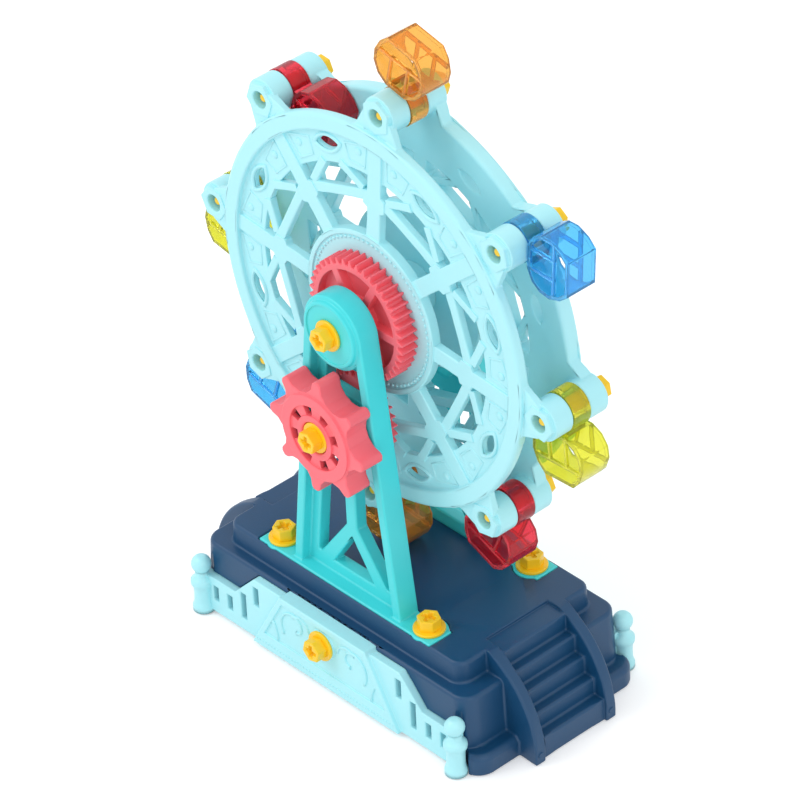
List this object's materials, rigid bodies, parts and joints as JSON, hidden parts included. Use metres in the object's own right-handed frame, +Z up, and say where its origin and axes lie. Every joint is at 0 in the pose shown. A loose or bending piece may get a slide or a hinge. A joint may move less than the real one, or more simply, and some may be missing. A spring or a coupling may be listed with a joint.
{
  "type": "toy ferris wheel",
  "caption": "Toy ferris wheel on a stepped base: a handwheel turns a gear pair that spins a two-ring wheel of swinging windowed cars.",
  "frame": {"origin": "middle of the base's underside, on the table", "axes": "+X along the base towards one flight of steps, +Y from the crank side to the rear, +Z up; the wheel turns about an axis along Y"},
  "size_m": [0.2334, 0.1182, 0.3162],
  "materials": {
    "base_navy": "moulded plastic, satin gloss",
    "mint": "moulded plastic, satin gloss",
    "turquoise": "moulded plastic, satin gloss",
    "yellow": "moulded plastic, satin gloss",
    "coral": "moulded plastic, satin gloss",
    "clear_red": "clear tinted moulded plastic",
    "clear_orange": "clear tinted moulded plastic",
    "clear_blue": "clear tinted moulded plastic",
    "clear_green": "clear tinted moulded plastic"
  },
  "bodies": {
    "stand": {"base_body": "base_navy", "fence_front": "mint", "fence_rear": "mint", "a_frame_front": "turquoise", "a_frame_rear": "turquoise", "foot_screws": "yellow", "fence_screws": "yellow", "axle_tube": "mint", "axle_screws": "yellow"},
    "wheel": {"ring_front": "mint", "ring_rear": "mint", "hub_spacer": "mint", "drive_gear": "coral", "car_screws": "yellow"},
    "crank": {"pinion_shaft": "turquoise", "handwheel": "coral", "crank_screw": "yellow"},
    "hanging_car_1": {"car_1": "clear_red"},
    "hanging_car_2": {"car_2": "clear_orange"},
    "hanging_car_3": {"car_3": "clear_blue"},
    "hanging_car_4": {"car_4": "clear_green"},
    "hanging_car_5": {"car_5": "clear_red"},
    "hanging_car_6": {"car_6": "clear_orange"},
    "hanging_car_7": {"car_7": "clear_blue"},
    "hanging_car_8": {"car_8": "clear_green"}
  },
  "joints": [
    {"name": "wheel_spin", "type": "hinge", "parent": "stand", "child": "wheel", "pos_m": [0, 0, 0.1823], "axis": [0, 1, 0], "continuous": true},
    {"name": "crank_spin", "type": "hinge", "parent": "stand", "child": "crank", "pos_m": [0, 0, 0.13494], "axis": [0, 1, 0], "continuous": true},
    {"name": "car_1_swing", "type": "hinge", "parent": "wheel", "child": "hanging_car_1", "pos_m": [-0.06441, 0, 0.25879], "axis": [0, 1, 0], "continuous": true},
    {"name": "car_2_swing", "type": "hinge", "parent": "wheel", "child": "hanging_car_2", "pos_m": [0.00854, 0, 0.28193], "axis": [0, 1, 0], "continuous": true},
    {"name": "car_3_swing", "type": "hinge", "parent": "wheel", "child": "hanging_car_3", "pos_m": [0.07649, 0, 0.24671], "axis": [0, 1, 0], "continuous": true},
    {"name": "car_4_swing", "type": "hinge", "parent": "wheel", "child": "hanging_car_4", "pos_m": [0.09963, 0, 0.17375], "axis": [0, 1, 0], "continuous": true},
    {"name": "car_5_swing", "type": "hinge", "parent": "wheel", "child": "hanging_car_5", "pos_m": [0.06441, 0, 0.1058], "axis": [0, 1, 0], "continuous": true},
    {"name": "car_6_swing", "type": "hinge", "parent": "wheel", "child": "hanging_car_6", "pos_m": [-0.00854, 0, 0.08266], "axis": [0, 1, 0], "continuous": true},
    {"name": "car_7_swing", "type": "hinge", "parent": "wheel", "child": "hanging_car_7", "pos_m": [-0.07649, 0, 0.11788], "axis": [0, 1, 0], "continuous": true},
    {"name": "car_8_swing", "type": "hinge", "parent": "wheel", "child": "hanging_car_8", "pos_m": [-0.09963, 0, 0.19084], "axis": [0, 1, 0], "continuous": true}
  ],
  "couplings": [
    {"joint": "crank_spin", "follows": "wheel_spin", "ratio": -1.4}
  ]
}
